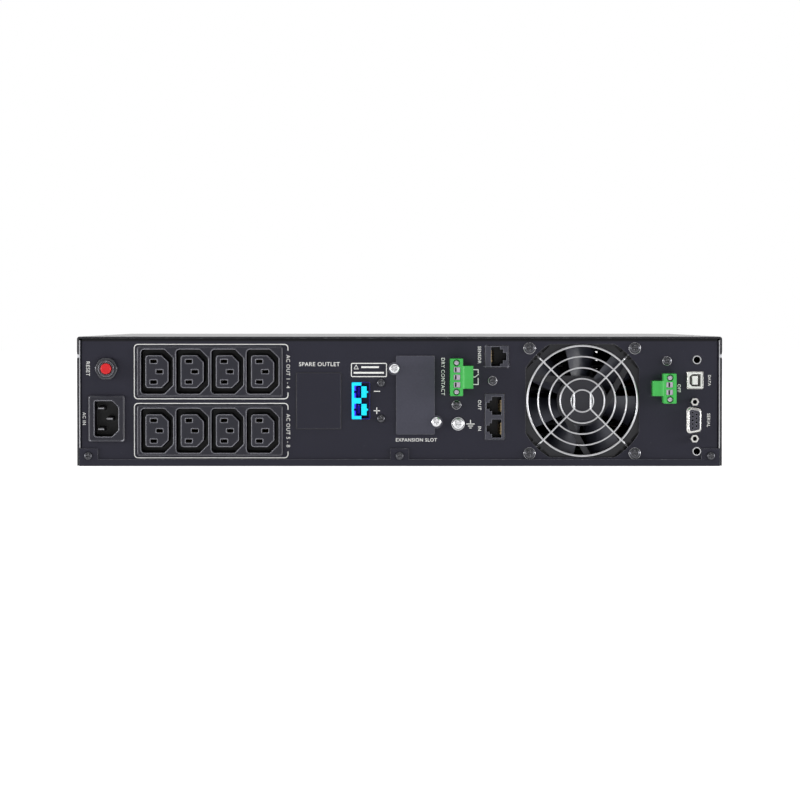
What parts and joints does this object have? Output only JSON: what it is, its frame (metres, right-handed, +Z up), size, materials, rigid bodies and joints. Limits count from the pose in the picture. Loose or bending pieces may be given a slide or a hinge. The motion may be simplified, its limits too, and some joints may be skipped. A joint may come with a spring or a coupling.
{
  "type": "rackmount ups",
  "caption": "Two-unit rackmount uninterruptible power supply with rear sockets, signal ports, cooling fan and a front battery drawer.",
  "frame": {"origin": "centre of the bounding box's footprint, on the flat underside", "axes": "+Z up; +Y from the rear panel to the front bezel; +X to the right of a person facing the rear panel"},
  "size_m": [0.4826, 0.444, 0.088],
  "materials": {
    "cover_paint": "fine-textured black powder coat",
    "panel_paint": "satin dark grey powder coat",
    "slot_paint": "satin grey powder coat",
    "zinc_plate": "zinc-plated sheet",
    "zinc_steel": "bright zinc",
    "black_screw": "black oxide",
    "guard_wire": "bright nickel-plated wire",
    "nickel_plate": "nickel plate",
    "copper_alloy": "tinned and bare copper alloy",
    "bare_aluminium": "extruded",
    "winding": "lacquered copper on a laminated core",
    "bezel_plastic": "moulded black",
    "button_plastic": "moulded grey",
    "display_window": "smoked clear plastic",
    "battery_case": "moulded dark grey",
    "socket_plastic": "moulded dark grey",
    "jack_plastic": "moulded dark grey",
    "fan_plastic": "moulded black",
    "red_plastic": "moulded red",
    "green_plastic": "moulded green",
    "blue_plastic": "moulded blue",
    "white_plastic": "moulded white",
    "circuit_board": "solder resist",
    "capacitor_sleeve": "heat-shrunk sleeve"
  },
  "bodies": {
    "chassis": {"base_tray": "panel_paint", "top_cover": "cover_paint", "rear_panel": "panel_paint", "front_frame": "zinc_plate", "rack_ear_left": "cover_paint", "rack_ear_right": "cover_paint", "side_screws": "black_screw", "front_bezel": "bezel_plastic", "display_lens": "display_window", "display_module": "circuit_board", "outlet_block_upper": "socket_plastic", "outlet_block_lower": "socket_plastic", "outlet_contacts": "copper_alloy", "inlet_housing": "socket_plastic", "inlet_pins": "nickel_plate", "breaker_body": "socket_plastic", "breaker_nut": "black_screw", "blanking_plate": "panel_paint", "battery_connector": "blue_plastic", "connector_contacts": "nickel_plate", "slot_cover": "slot_paint", "zinc_screws": "zinc_steel", "card_guides": "jack_plastic", "relay_header": "green_plastic", "epo_header": "green_plastic", "sense_jack": "jack_plastic", "network_jack": "jack_plastic", "signal_contacts": "copper_alloy", "rear_screws": "black_screw", "usb_shell": "nickel_plate", "usb_insert": "white_plastic", "serial_shell": "nickel_plate", "serial_insert": "jack_plastic", "serial_standoffs": "nickel_plate", "signal_boards": "circuit_board", "fan_frame": "fan_plastic", "fan_stator": "winding", "fan_guard": "guard_wire", "main_board": "circuit_board", "heatsinks": "bare_aluminium", "capacitors": "capacitor_sleeve", "chokes": "winding"},
    "fan_rotor": {"fan_rotor": "fan_plastic"},
    "breaker_button": {"breaker_button": "red_plastic"},
    "relay_plug": {"relay_plug": "green_plastic", "relay_plug_metal": "zinc_steel"},
    "epo_plug": {"epo_plug": "green_plastic", "epo_plug_metal": "zinc_steel"},
    "on_button": {"on_button": "button_plastic"},
    "off_button": {"off_button": "button_plastic"},
    "select_button": {"select_button": "button_plastic"},
    "battery_drawer": {"battery_tray": "zinc_plate", "battery_1": "battery_case", "battery_2": "battery_case", "battery_3": "battery_case", "battery_4": "battery_case", "battery_links": "copper_alloy", "drawer_handle": "zinc_plate", "drawer_screws": "zinc_steel"},
    "battery_cover": {"battery_cover": "bezel_plastic"}
  },
  "joints": [
    {"name": "fan_spin", "type": "hinge", "parent": "chassis", "child": "fan_rotor", "pos_m": [0.1241, -0.194, 0.0443], "axis": [0, 1, 0], "continuous": true},
    {"name": "breaker_pop", "type": "slide", "parent": "chassis", "child": "breaker_button", "axis": [0, -1, 0], "range_m": [0, 0.004]},
    {"name": "relay_plug_pull", "type": "slide", "parent": "chassis", "child": "relay_plug", "axis": [0, -1, 0], "range_m": [0, 0.02]},
    {"name": "epo_plug_pull", "type": "slide", "parent": "chassis", "child": "epo_plug", "axis": [0, -1, 0], "range_m": [0, 0.02]},
    {"name": "on_button_press", "type": "slide", "parent": "chassis", "child": "on_button", "axis": [0, -1, 0], "range_m": [0, 0.0008], "stiffness_N_per_m": 400},
    {"name": "off_button_press", "type": "slide", "parent": "chassis", "child": "off_button", "axis": [0, -1, 0], "range_m": [0, 0.0008], "stiffness_N_per_m": 400},
    {"name": "select_button_press", "type": "slide", "parent": "chassis", "child": "select_button", "axis": [0, -1, 0], "range_m": [0, 0.0008], "stiffness_N_per_m": 400},
    {"name": "drawer_slide", "type": "slide", "parent": "chassis", "child": "battery_drawer", "axis": [0, 1, 0], "range_m": [0, 0.3]},
    {"name": "cover_pull", "type": "slide", "parent": "battery_drawer", "child": "battery_cover", "axis": [0, 1, 0], "range_m": [0, 0.03]}
  ]
}
